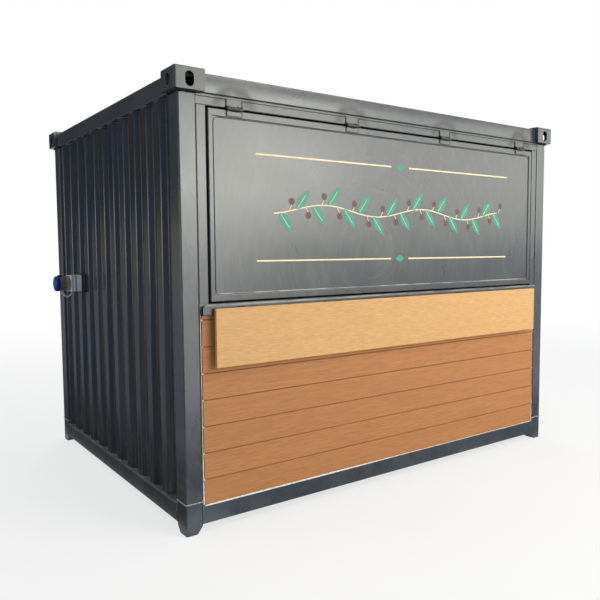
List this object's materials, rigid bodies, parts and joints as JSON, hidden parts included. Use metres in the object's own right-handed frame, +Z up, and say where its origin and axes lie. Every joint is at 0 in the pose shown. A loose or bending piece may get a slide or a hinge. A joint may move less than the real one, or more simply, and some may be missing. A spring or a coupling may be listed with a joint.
{
  "type": "container street kiosk",
  "caption": "Small steel container kiosk with corrugated walls, slotted corner castings, a top-hung serving hatch, a board-clad lower front and a fold-down counter.",
  "frame": {"origin": "on the ground at the centre of the four feet", "axes": "+X along the front towards the viewer's right, +Y from the front to the rear, +Z up"},
  "size_m": [3.403, 2.415, 2.5],
  "materials": {
    "frame_paint": "satin",
    "wall_paint": "satin",
    "hatch_paint": "satin",
    "plywood": "matte",
    "cladding_wood": "matte",
    "counter_wood": "satin",
    "hinge_steel": "brushed",
    "inlet_dark": "matte",
    "inlet_light": "matte",
    "inlet_grey": "matte",
    "inlet_blue": "gloss"
  },
  "bodies": {
    "kiosk": {"casting_front_left": "frame_paint", "casting_front_right": "frame_paint", "casting_rear_left": "frame_paint", "casting_rear_right": "frame_paint", "post_front_left": "frame_paint", "post_front_right": "frame_paint", "post_rear_left": "frame_paint", "post_rear_right": "frame_paint", "foot_front_left": "frame_paint", "foot_front_right": "frame_paint", "foot_rear_left": "frame_paint", "foot_rear_right": "frame_paint", "top_rail_front": "frame_paint", "top_rail_rear": "frame_paint", "top_rail_left": "frame_paint", "top_rail_right": "frame_paint", "bottom_rail_front": "frame_paint", "bottom_rail_rear": "frame_paint", "bottom_rail_left": "frame_paint", "bottom_rail_right": "frame_paint", "front_header": "frame_paint", "front_jamb_left": "frame_paint", "front_jamb_right": "frame_paint", "front_sill": "frame_paint", "left_wall": "wall_paint", "right_wall": "wall_paint", "rear_wall": "wall_paint", "roof": "wall_paint", "front_backing": "wall_paint", "floor_deck": "plywood", "floor_cross_members": "frame_paint", "front_cladding": "cladding_wood", "hatch_hinge_upper_leaves": "frame_paint", "counter_hinge_fixed_leaves": "hinge_steel", "inlet_base": "inlet_dark", "inlet_box": "inlet_light", "inlet_body": "inlet_grey", "inlet_cap": "inlet_blue"},
    "hatch": {"hatch_rail_top": "hatch_paint", "hatch_rail_bottom": "hatch_paint", "hatch_stile_left": "hatch_paint", "hatch_stile_right": "hatch_paint", "hatch_panel": "hatch_paint", "hatch_hinge_lower_leaves": "hatch_paint"},
    "counter": {"counter_board": "counter_wood", "counter_hinge_moving_leaves": "hinge_steel"}
  },
  "joints": [
    {"name": "hatch_hinge", "type": "hinge", "parent": "kiosk", "child": "hatch", "pos_m": [0, -1.176, 2.315], "axis": [-1, 0, 0], "range_deg": [0, 90]},
    {"name": "counter_hinge", "type": "hinge", "parent": "kiosk", "child": "counter", "pos_m": [0, -1.189, 1.241], "axis": [-1, 0, 0], "range_deg": [0, 90]}
  ]
}
